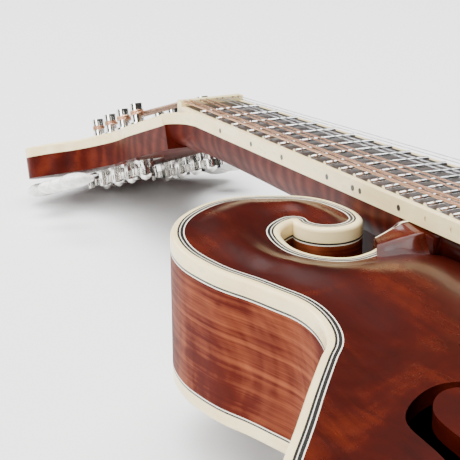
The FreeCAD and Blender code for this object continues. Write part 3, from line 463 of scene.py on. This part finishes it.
def sweep(loop, upright, section):
    # section is (depth, height) from the outer edge; corners are mitred
    made = bmesh.new()
    base, inwards = {}, {}
    for edge, inward in loop.items():
        for vert in edge.verts:
            inwards.setdefault(vert.index, []).append(inward)
            if vert.index not in base:
                base[vert.index] = made.verts.new(vert.co)
    starts, offsets = {}, {}
    for index, vert in base.items():
        first, last = inwards[index][0], inwards[index][-1]
        starts[vert] = vert.co.copy()
        offsets[vert] = (first + last) / max(bindingSetup["sharpest"], 1 + first.dot(last))

    def placeAt(vert, root, spot):
        depth, height = spot
        vert.co = starts[root] + offsets[root] * depth * mm + upright * height * mm

    ring = [made.edges.new([base[v.index] for v in edge.verts]) for edge in loop]
    roots = {vert: vert for vert in base.values()}
    for vert in roots:
        placeAt(vert, vert, section[0])
    for spot in section[1:] + section[:1]:
        grown = bmesh.ops.extrude_edge_only(made, edges=ring)["geom"]
        following = {}
        for vert in only(bmesh.types.BMVert, grown):
            source = next(e.other_vert(vert) for e in vert.link_edges if e.other_vert(vert) in roots)
            following[vert] = roots[source]
            placeAt(vert, roots[source], spot)
        ring = only(bmesh.types.BMEdge, grown)
        roots = following
    bmesh.ops.remove_doubles(made, verts=made.verts, dist=mergeDistance / 2)
    rims = [e for e in made.edges if e.is_boundary]
    if rims:
        bmesh.ops.holes_fill(made, edges=rims, sides=0)
    bmesh.ops.recalc_face_normals(made, faces=made.faces)
    return made


def roundedSection(width, height, radius, steps):
    section = [(0, -height), (0, -radius)]
    for step in range(1, steps):
        angle = math.pi / 2 * step / steps
        section.append((radius * (1 - math.cos(angle)), -radius * (1 - math.sin(angle))))
    return section + [(radius, 0), (width, 0), (width, -height)]


def heightOf(node, placing):
    turned = placing.inverted()
    levels = [(turned @ v.co).z / mm for v in nodes[node].data.vertices]
    return max(levels) - min(levels)


def bindings():
    setup = bindingSetup
    # the strip, its inner neighbour, which way its show edge faces, its frame and its width
    plans = [("top_binding", "top_purfling", 1, bodyFrame, setup["bodyWidth"]),
             ("back_binding", "back_plate", -1, bodyFrame, setup["bodyWidth"]),
             ("headstock_binding", "headstock_veneer", 1, headFrame, setup["headWidth"])]
    for node, neighbour, facing, placing, width in plans:
        upright = direction(placing, 0, 0, facing)
        shape = copyOf(node)
        inside = copyOf(neighbour)
        tree = BVHTree.FromBMesh(inside)

        def isOuter(edge):    # the inner edge lies against the neighbour
            middle = (edge.verts[0].co + edge.verts[1].co) / 2
            return tree.find_nearest(middle)[3] > width * 0.5 * mm

        section = roundedSection(width, heightOf(node, placing), setup["round"], setup["roundSteps"])
        made = sweep(loopOf(shape, upright, isOuter), upright, section)
        shape.free()
        inside.free()
        addPiece(made, "rounded_" + node, "instrument", [finishes["ivory"]], [node])


bindings()
print("bindings done")


# purfling: the share of the way across the strip is kept on every vertex

purflingSetup = {"touching": 0.5}    # a vertex nearer than this to the binding is on the outer edge


def topPurfling():
    shape = copyOf("top_purfling")
    edge = copyOf("top_binding")
    tree = BVHTree.FromBMesh(edge)
    layer = shape.verts.layers.float.new(acrossStrip)
    for vert in shape.verts:
        vert[layer] = 0.0 if tree.find_nearest(vert.co)[3] < purflingSetup["touching"] * mm else 1.0
    edge.free()
    addPiece(shape, "purfling_lines", "instrument", [finishes["purfling"]], ["top_purfling"])


def sidePurfling():
    shape = copyOf("side_purfling")
    layer = shape.verts.layers.float.new(acrossStrip)
    turned = bodyFrame.inverted()
    levels = [(turned @ v.co).z / mm for v in shape.verts]
    middle = (max(levels) + min(levels)) / 2
    top = [z for z in levels if z > middle]
    low = [z for z in levels if z < middle]
    for vert, z in zip(shape.verts, levels):
        band = top if z > middle else low
        share = (z - min(band)) / (max(band) - min(band))
        vert[layer] = 1 - share if z > middle else share    # black lies next to the ivory
    addPiece(shape, "side_lines", "instrument", [finishes["sideLines"]], ["side_purfling"])


topPurfling()
sidePurfling()
print("purfling done")


# tuning machines: plump oval buttons on the worm shafts, and string coils on the posts

buttonSetup = {
    "start": 23.0,         # from the post's axis out to the button, millimetres
    # (along, radius) from the shaft end outwards
    "profile": [(0.0, 0.0), (0.0, 2.3), (0.7, 2.7), (1.4, 2.7), (2.4, 3.7), (4.2, 4.9), (6.6, 5.6),
                (9.0, 5.75), (11.6, 5.5), (13.8, 4.4), (15.2, 2.7), (15.9, 1.1), (16.0, 0.0)],
    "thickness": 0.6,      # share of the width
    "steps": 32,
    "shaftReach": 4.0,     # what stands further from the key's axis than this is the CAD's button
}


def tunerKeys():
    setup = buttonSetup
    flatten = Matrix.Diagonal((1, 1, setup["thickness"], 1))
    for number in range(1, 9):
        node = "tuner_key_%d" % number
        joint = joints["key_%d_turn" % number]
        centre = Vector(joint["pos_m"])
        axis = Vector(joint["axis"]).normalized()
        shape = copyOf(node)
        for group in islands(shape):
            arms = [v.co - centre for v in group]
            if max((arm - axis * arm.dot(axis)).length for arm in arms) > setup["shaftReach"] * mm:
                bmesh.ops.delete(shape, geom=group, context="VERTS")
        placing = headFrame.to_3x3().to_4x4()
        placing.translation = centre
        if centre.x < 0:
            placing = placing @ Matrix.Rotation(math.pi, 4, "Z")
        placing = placing @ shift(setup["start"], 0, 0) @ flatten
        knob = lathe(shape, setup["profile"], setup["steps"], placing)
        knobFaces = list(dict.fromkeys(f for v in knob for f in v.link_faces))
        bmesh.ops.recalc_face_normals(shape, faces=knobFaces)
        for face in knobFaces:
            face.material_index = 1
        addPiece(shape, "tuning_key_%d" % number, "key_%d" % number,
                 [finishes["steel"], finishes["pearl"]], [node], smooth=50)


stringSetup = {
    "diameters": (1.0, 0.66, 0.4, 0.28),
    "turns": (2, 3, 4, 5),             # coils on the post, for each diameter
    "postOrder": (1, 2, 3, 4, 8, 7, 6, 5),
    "grooveRadius": 2.3,
    "coilHeight": 5.7,                 # above the head's face
    "coilSteps": 28,
    "coilSides": 8,
    "wireSides": 12,
    "coilPitch": 1.02,                 # in diameters
    "nutPitch": 7.3,
    "pairGap": 2.6,
    "nutY": 4.4,                       # where the wire leaves the nut, neck frame
    "nutZ": 1.7,
}


def nutSpots():
    spots = []
    for course, diameter in enumerate(stringSetup["diameters"]):
        middle = (course - 1.5) * stringSetup["nutPitch"]
        for offset in (-0.5, 0.5):
            spots.append((middle + offset * stringSetup["pairGap"], diameter))
    return spots


def coil(diameter, turns, placing):
    # a round wire section carried along a screw line
    setup = stringSetup
    shape = bmesh.new()
    centre = shift(setup["grooveRadius"] + diameter / 2, 0, 0) @ turnX(90)
    section = bmesh.ops.create_circle(shape, cap_ends=False, segments=setup["coilSides"],
                                      radius=diameter / 2 * mm, matrix=centre)["verts"]
    steps = setup["coilSteps"] * turns
    climb = diameter * setup["coilPitch"] * mm * turns / steps
    bmesh.ops.spin(shape, geom=section + list(shape.edges), cent=(0, 0, 0), axis=(0, 0, 1),
                   angle=math.tau * turns, dvec=(0, 0, climb), steps=steps, use_merge=False,
                   use_duplicate=False)
    rims = [e for e in shape.edges if e.is_boundary]
    bmesh.ops.holes_fill(shape, edges=rims, sides=0)
    middle = shift(0, 0, setup["coilHeight"] - diameter * turns / 2)
    bmesh.ops.transform(shape, matrix=placing @ middle, verts=shape.verts)
    bmesh.ops.recalc_face_normals(shape, faces=shape.faces)
    return shape


def stringsAtHead():
    setup = stringSetup
    wires = bmesh.new()
    inverse = headFrame.inverted()
    turnsFor = dict(zip(setup["diameters"], setup["turns"]))
    for (x, diameter), number in zip(nutSpots(), setup["postOrder"]):
        post = inverse @ Vector(joints["post_%d_turn" % number]["pos_m"])
        placing = headFrame @ Matrix.Translation((post.x, post.y, 0))
        shape = coil(diameter, turnsFor[diameter], placing)
        addPiece(shape, "string_coil_%d" % number, "post_%d" % number, [finishes["string_set"]],
                 smooth=60)
        inner = 1 if post.x < 0 else -1
        reach = (setup["grooveRadius"] + diameter / 2) * mm
        start = at(neckFrame, x, setup["nutY"], setup["nutZ"])
        end = headFrame @ Vector((post.x + inner * reach, post.y, setup["coilHeight"] * mm))
        wire(wires, start, end, diameter / 2 * mm, setup["wireSides"])
    bmesh.ops.recalc_face_normals(wires, faces=wires.faces)
    addPiece(wires, "strings_to_posts", "instrument", [finishes["string_set"]],
             ["strings_head"], smooth=60)


tunerKeys()
stringsAtHead()
print("tuning machines done")


# wings and joint strip: the shoulder that climbs from the top to the fingerboard

wingSetup = {
    # each rail runs from the fingerboard's underside out and down to the top, body frame, millimetres
    "rails": [
        [(19.2, -0.4, -3.0), (21.6, 0.5, -3.0), (23.4, 1.4, -3.0), (25.8, 2.2, -3.0), (28.6, 2.7, -3.0)],
        [(19.2, -0.9, 6.6), (21.6, 0.1, 6.2), (23.4, 1.1, 4.5), (25.8, 1.9, 2.9), (28.6, 2.5, 1.5)],
        [(19.2, -1.4, 7.35), (21.6, -0.4, 6.9), (23.4, 0.6, 5.2), (25.8, 1.5, 3.6), (28.6, 2.1, 2.2)],
        [(19.2, -5.2, 7.4), (21.9, -4.4, 7.0), (24.0, -3.4, 5.5), (27.0, -2.4, 4.0), (29.8, -1.4, 2.7)],
        [(19.2, -11.4, 7.4), (22.2, -10.7, 7.1), (24.8, -8.9, 6.0), (28.2, -6.7, 4.5), (31.2, -4.6, 2.9)],
        [(19.2, -12.5, 6.9), (22.6, -11.9, 6.5), (25.4, -10.1, 5.3), (28.9, -7.8, 3.9), (31.9, -5.4, 2.2)],
        [(19.2, -13.4, 4.9), (22.9, -12.8, 4.3), (25.9, -11.2, 3.2), (29.4, -8.9, 2.0), (32.3, -6.3, 0.8)],
        [(19.2, -15.0, 2.6), (23.2, -14.3, 1.8), (26.4, -12.7, 1.0), (29.9, -10.3, 0.1), (32.7, -7.5, -0.8)],
        [(19.2, -19.0, -0.6), (23.6, -17.6, -1.2), (27.4, -15.2, -1.8), (30.8, -12.2, -2.2),
         (33.2, -9.0, -2.6)],
    ],
    "trim": 20.0,                        # half width of the wood between the wings
    "across": 14,
    "along": 26,
    "skin": 1.1,
    "stripRail": 2,
    "stripShares": (0.0, 0.2, 0.8, 1.0),    # black, ivory and black, across the width
    "stripWidth": 1.5,
    "stripLift": 0.22,
    "stripSkin": 0.9,
    "stripSteps": 24,
}


def curveAt(points, share):
    # a smooth line through the points
    count = len(points) - 1
    index = min(count - 1, int(share * count))
    part = share * count - index
    a, b, c, d = (points[min(count, max(0, index + step))] for step in (-1, 0, 1, 2))
    return 0.5 * (2 * b + (c - a) * part + (2 * a - 5 * b + 4 * c - d) * part ** 2
                  + (3 * b - a - 3 * c + d) * part ** 3)


def sheet(shape, rails, across, along, skin, outward, placing):
    # a grid bent onto the rails, then given a thickness on its inner side
    made = bmesh.new()
    bmesh.ops.create_grid(made, x_segments=across, y_segments=along, size=0.5)
    for vert in made.verts:
        vert.co = curveAt([curveAt(rail, vert.co.x + 0.5) for rail in rails], vert.co.y + 0.5) * mm
    faceTowards(made, outward)
    bmesh.ops.solidify(made, geom=made.faces, thickness=skin * mm)
    bmesh.ops.transform(made, matrix=placing, verts=made.verts)
    mesh = bpy.data.meshes.new("sheet")
    made.to_mesh(mesh)
    made.free()
    shape.from_mesh(mesh)
    bpy.data.meshes.remove(mesh)


def mirrored(points, side):
    return [Vector((x * side, y, z)) for x, y, z in points]


def support():
    # the CAD's middle block is kept, and a carved wing stands at each side of it
    setup = wingSetup
    shape = copyOf("fingerboard_riser")
    bmesh.ops.transform(shape, matrix=bodyFrame.inverted(), verts=shape.verts)
    for side in (-1, 1):
        geometry = list(shape.verts) + list(shape.edges) + list(shape.faces)
        bmesh.ops.bisect_plane(shape, geom=geometry, dist=mergeDistance / 2, clear_outer=True,
                               plane_co=(side * setup["trim"] * mm, 0, 0), plane_no=(side, 0, 0))
        rims = [e for e in shape.edges if e.is_boundary]
        bmesh.ops.holes_fill(shape, edges=rims, sides=0)
    bmesh.ops.transform(shape, matrix=bodyFrame, verts=shape.verts)
    for side in (-1, 1):
        rails = [mirrored(rail, side) for rail in setup["rails"]]
        sheet(shape, rails, setup["across"], setup["along"], setup["skin"], (0, 0, 1), bodyFrame)
    addPiece(shape, "fingerboard_support", "instrument", [finishes["topWood"]],
             ["fingerboard_riser"], smooth=40)


def jointStrips():
    # ivory strip with dark edges, laid along the front rail of each wing
    setup = wingSetup
    shares = setup["stripShares"]
    for side, name in ((-1, "bass"), (1, "treble")):
        rail = mirrored(setup["rails"][setup["stripRail"]], side)
        shape = bmesh.new()
        layer = shape.verts.layers.float.new(acrossStrip)
        verts = []
        for step in range(setup["stripSteps"] + 1):
            spot = curveAt(rail, step / setup["stripSteps"])
            verts.append(shape.verts.new(at(bodyFrame, spot.x, spot.y, spot.z + setup["stripLift"])))
        edges = [shape.edges.new(pair) for pair in zip(verts, verts[1:])]
        for vert in verts:
            vert[layer] = shares[0]
        for first, second in zip(shares, shares[1:]):
            grown = bmesh.ops.extrude_edge_only(shape, edges=edges)["geom"]
            edges = only(bmesh.types.BMEdge, grown)
            fresh = only(bmesh.types.BMVert, grown)
            reach = (first - second) * setup["stripWidth"]
            bmesh.ops.translate(shape, verts=fresh, vec=direction(bodyFrame, 0, reach * mm, 0))
            for vert in fresh:
                vert[layer] = second
        faceTowards(shape, direction(bodyFrame, 0, 0, 1))
        bmesh.ops.solidify(shape, geom=shape.faces, thickness=setup["stripSkin"] * mm)
        addPiece(shape, "joint_strip_" + name, "instrument", [finishes["strip"]], smooth=50)


shoulderSetup = {
    # along the neck, half width, top, foot of the ivory, foot of the wood; neck frame, millimetres
    "stations": [(-22.0, 14.6, -0.6, -5.5, -9.0), (-15.0, 15.0, -0.8, -5.6, -11.5),
                 (-8.0, 15.9, -1.1, -5.9, -14.0), (-2.0, 17.4, -1.6, -6.4, -16.0),
                 (3.0, 19.6, -2.2, -7.0, -17.2), (7.4, 21.3, -3.1, -8.0, -18.4)],
    "ivoryWidth": 2.0,
    "edgeRound": 0.5,
    # the wood below the ivory: how far in, and the share of the way down
    "flank": [(0.0, 0.0), (0.2, 0.4), (1.5, 0.75), (5.0, 1.0)],
    "inner": 11.0,         # inner edge of the black face
    "faceDrop": 0.05,
    "across": 12,
    "faceAcross": 2,
    "along": 30,
    "skin": 1.6,
    "faceSkin": 1.0,
}


def headShoulders():
    # flared corners where the neck opens out into the head
    setup = shoulderSetup
    width, soft = setup["ivoryWidth"], setup["edgeRound"]
    along, skin = setup["along"], setup["skin"]
    ivory, wood, face = bmesh.new(), bmesh.new(), bmesh.new()
    for side in (-1, 1):
        edge, flank, cover = [], [], []
        for y, x, top, middle, foot in setup["stations"]:
            rail = [(x - width, y, top), (x - soft, y, top), (x, y, top - soft), (x, y, middle)]
            edge.append(mirrored(rail, side))
            rail = [(x - inset, y, middle + (foot - middle) * share) for inset, share in setup["flank"]]
            flank.append(mirrored(rail, side))
            level = top - setup["faceDrop"]
            cover.append(mirrored([(x - width, y, level), (setup["inner"], y, level)], side))
        sheet(ivory, edge, setup["across"], along, skin, (side, 0, 0), neckFrame)
        sheet(wood, flank, setup["across"], along, skin, (side, 0, 0), neckFrame)
        sheet(face, cover, setup["faceAcross"], along, setup["faceSkin"], (0, 0, 1), neckFrame)
    for shape, part, slot in ((ivory, "edges", "ivory"), (wood, "flanks", "neck_wood"),
                              (face, "faces", "black_veneer")):
        addPiece(shape, "head_corner_" + part, "instrument", [finishes[slot]], smooth=60)


dotSetup = {
    "radius": 0.95,
    "proud": 0.14,
    "depth": 0.6,
    "steps": 24,
    "rim": 0.4,            # how far in the CAD dot's outer face may lie
    "last": -205.0,        # no dots past here, along the neck
}


def sideDots():
    # round dots standing just clear of the binding, in place of each CAD dot
    setup = dotSetup
    radius = setup["radius"] * mm
    inverse = neckFrame.inverted()
    source = copyOf("side_dots")
    shape = bmesh.new()
    for group in islands(source):
        edge = min(v.co.x for v in group)
        rim = [v.co for v in group if v.co.x < edge + setup["rim"] * mm]
        middle = sum(rim, Vector()) / len(rim)
        if (inverse @ middle).y < setup["last"] * mm:
            continue
        middle.x = edge + (setup["depth"] / 2 - setup["proud"]) * mm
        place = Matrix.Translation(middle) @ Matrix.Rotation(math.pi / 2, 4, "Y")
        bmesh.ops.create_cone(shape, cap_ends=True, segments=setup["steps"], radius1=radius,
                              radius2=radius, depth=setup["depth"] * mm, matrix=place)
    source.free()
    addPiece(shape, "round_side_dots", "instrument", [finishes["dotInlay"]],
             ["side_dots"], smooth=50)


sideDots()
support()
jointStrips()
headShoulders()
print("joint wood done")


# stage, light and camera

stageSetup = {
    "floorSize": 8.0,
    "floorColour": (0.86, 0.86, 0.86),
    "cloudColour": (0.80, 0.80, 0.80),
    "cloud": 0.1,          # share of the cloud colour
    "rough": 0.9,
}


def makeStage():
    setup = stageSetup
    shape = bmesh.new()
    bmesh.ops.create_grid(shape, x_segments=1, y_segments=1, size=setup["floorSize"])
    mesh = bpy.data.meshes.new("floor")
    shape.to_mesh(mesh)
    shape.free()
    floor = bpy.data.objects.new("floor", mesh)
    bpy.context.scene.collection.objects.link(floor)
    look = Look("paleFloor", Roughness=setup["rough"])
    cloud = look.noise(look.place(), 3.0)
    colour = look.mix(cloud * setup["cloud"], setup["floorColour"], setup["cloudColour"])
    mesh.materials.append(look.finish(colour))


lightSetup = {
    "world": 0.05,         # what the instrument sees
    "horizon": 2.0,        # what the camera sees past the floor
    "target": (0, 0.05, 0.05),
    "sun": {"place": (-0.9, 0.2, 2.2), "energy": 7.5, "angle": 75},
    "areas": {
        "overhead": {"place": (0.2, 0.4, 1.7), "energy": 42, "size": (1.6, 1.1)},
        "leftWindow": {"place": (-1.6, -1.0, 0.9), "energy": 30, "size": (1.1, 0.9)},
        "behind": {"place": (-0.5, 1.9, 1.1), "energy": 10, "size": (0.9, 0.4)},
    },
}


def addLight(name, kind, setup):
    data = bpy.data.lights.new(name, kind)
    data.energy = setup["energy"]
    light = bpy.data.objects.new(name, data)
    light.location = setup["place"]
    aim = Vector(lightSetup["target"]) - Vector(setup["place"])
    light.rotation_euler = aim.to_track_quat("-Z", "Y").to_euler()
    bpy.context.scene.collection.objects.link(light)
    return data


def makeWorld():
    # the horizon is brighter for the camera than for the instrument
    world = bpy.data.worlds.new("softWorld")
    world.use_nodes = True
    tree = world.node_tree
    background = next(n for n in tree.nodes if n.type == "BACKGROUND")
    background.inputs["Color"].default_value = (1, 1, 1, 1)
    path = tree.nodes.new("ShaderNodeLightPath")
    strength = tree.nodes.new("ShaderNodeMapRange")
    strength.inputs["To Min"].default_value = lightSetup["world"]
    strength.inputs["To Max"].default_value = lightSetup["horizon"]
    tree.links.new(path.outputs["Is Camera Ray"], strength.inputs["Value"])
    tree.links.new(strength.outputs["Result"], background.inputs["Strength"])
    bpy.context.scene.world = world


def makeLights():
    for name, setup in lightSetup["areas"].items():
        data = addLight(name, "AREA", setup)
        data.shape = "RECTANGLE"
        data.size, data.size_y = setup["size"]
    data = addLight("wideSun", "SUN", lightSetup["sun"])
    data.angle = math.radians(lightSetup["sun"]["angle"])


cameraSetup = {
    "place": (-215.0, -340.0, 140.7),      # body frame, millimetres
    "forward": (0.3581, 0.8732, -0.3307),  # the camera's own directions
    "right": (0.9243, -0.3815, -0.0066),
    "lens": 108.98,
    "sensor": 36.0,
    "clip": (0.01, 30.0),
}


def makeCamera():
    setup = cameraSetup
    data = bpy.data.cameras.new("camera")
    data.sensor_width = setup["sensor"]
    data.lens = setup["lens"]
    data.clip_start, data.clip_end = setup["clip"]
    camera = bpy.data.objects.new("camera", data)
    forward = Vector(setup["forward"]).normalized()
    right = Vector(setup["right"])
    right = (right - forward * right.dot(forward)).normalized()
    turn = Matrix((right, right.cross(forward), -forward)).transposed()
    turn = (bodyFrame.to_3x3() @ turn).to_4x4()
    camera.matrix_world = Matrix.Translation(at(bodyFrame, *setup["place"])) @ turn
    bpy.context.scene.collection.objects.link(camera)
    bpy.context.scene.camera = camera


makeStage()
makeLights()
makeWorld()
makeCamera()
print("stage, lights and camera done")

bpy.context.view_layer.update()
